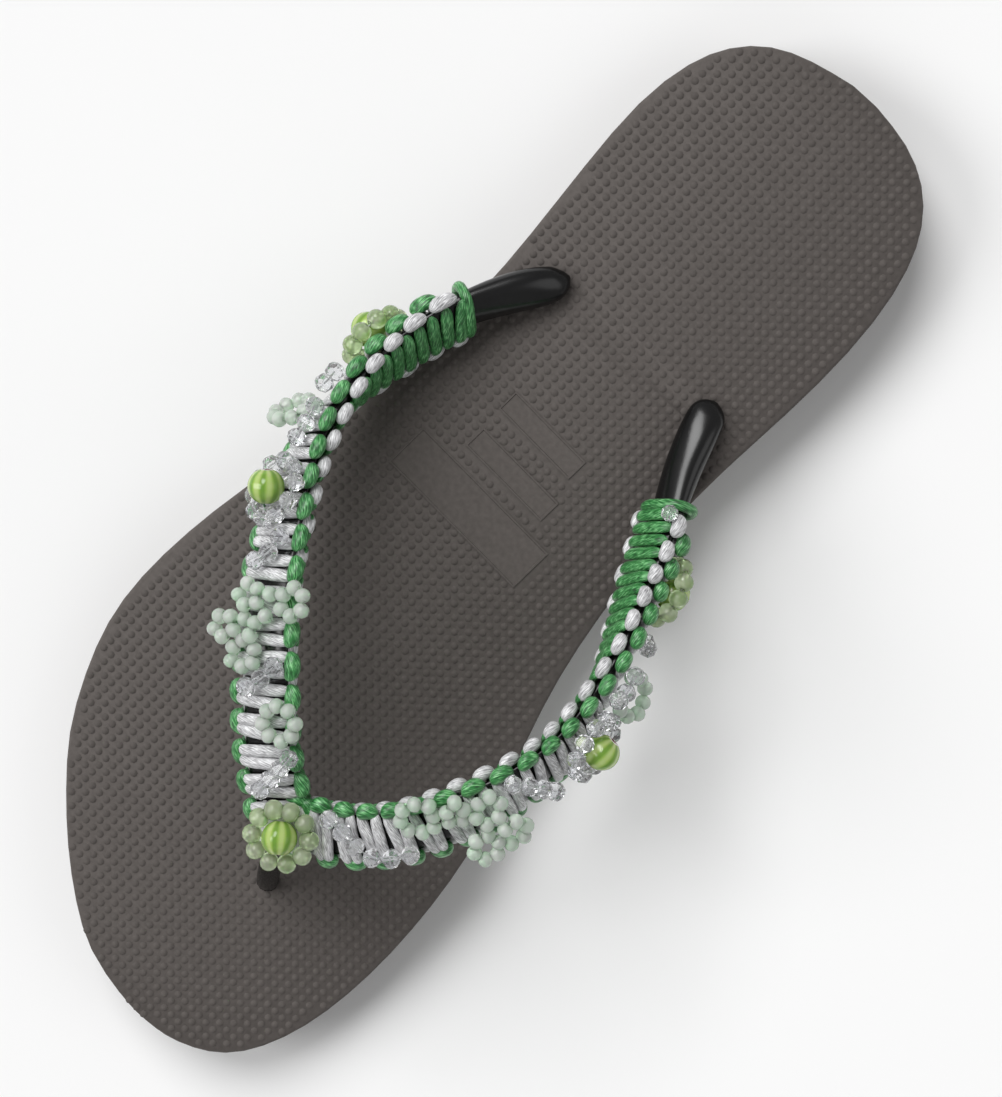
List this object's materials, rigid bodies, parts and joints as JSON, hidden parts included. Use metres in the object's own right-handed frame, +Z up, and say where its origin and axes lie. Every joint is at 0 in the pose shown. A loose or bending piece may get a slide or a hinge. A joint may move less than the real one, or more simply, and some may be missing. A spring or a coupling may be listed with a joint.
{
  "type": "beaded flip-flop sandal",
  "caption": "Right flip-flop: flat foam sole and a Y thong of rubber covered in knotted satin cord, set with seed bead loops, crystal strings and petalled glass beads.",
  "frame": {"origin": "middle of the object's bounding box, on the ground under the sole", "axes": "+Y towards the toe along the sole, +Z up, +X towards the outer side of the right foot"},
  "size_m": [0.1002, 0.25, 0.0594],
  "materials": {
    "sole_foam": "matt taupe grey foam rubber with a dotted footbed and a dark porous wall",
    "strap_rubber": "smooth satin black rubber",
    "satin_cord": "satin cord knotted in bars, green at the edges and silver grey across the face",
    "mint_glass": "milky mint green glass seed beads",
    "petal_glass": "translucent lime green glass beads",
    "striped_glass": "polished yellow green glass with lengthways stripes",
    "clear_crystal": "clear faceted crystal beads"
  },
  "bodies": {
    "root": {"sole": "sole_foam", "strap": "strap_rubber", "wrap": "satin_cord", "mint_loop_front_outer": "mint_glass", "mint_cluster_outer": "mint_glass", "mint_loop_rear_outer": "mint_glass", "mint_cluster_inner": "mint_glass", "mint_loop_rear_inner": "mint_glass", "petals_toe": "petal_glass", "petals_rear_outer": "petal_glass", "petals_rear_inner": "petal_glass", "bead_toe": "striped_glass", "bead_middle_outer": "striped_glass", "bead_middle_inner": "striped_glass", "bead_rear_outer": "striped_glass", "bead_rear_inner": "striped_glass", "crystal_ring_outer": "clear_crystal", "crystal_ring_inner": "clear_crystal", "crystals_front_outer": "clear_crystal", "crystals_middle_outer": "clear_crystal", "crystals_lower_outer": "clear_crystal", "crystals_upper_outer": "clear_crystal", "crystals_rear_outer": "clear_crystal", "crystals_front_inner": "clear_crystal", "crystals_middle_inner": "clear_crystal", "crystals_upper_inner": "clear_crystal", "crystals_rear_inner": "clear_crystal"}
  },
  "joints": []
}
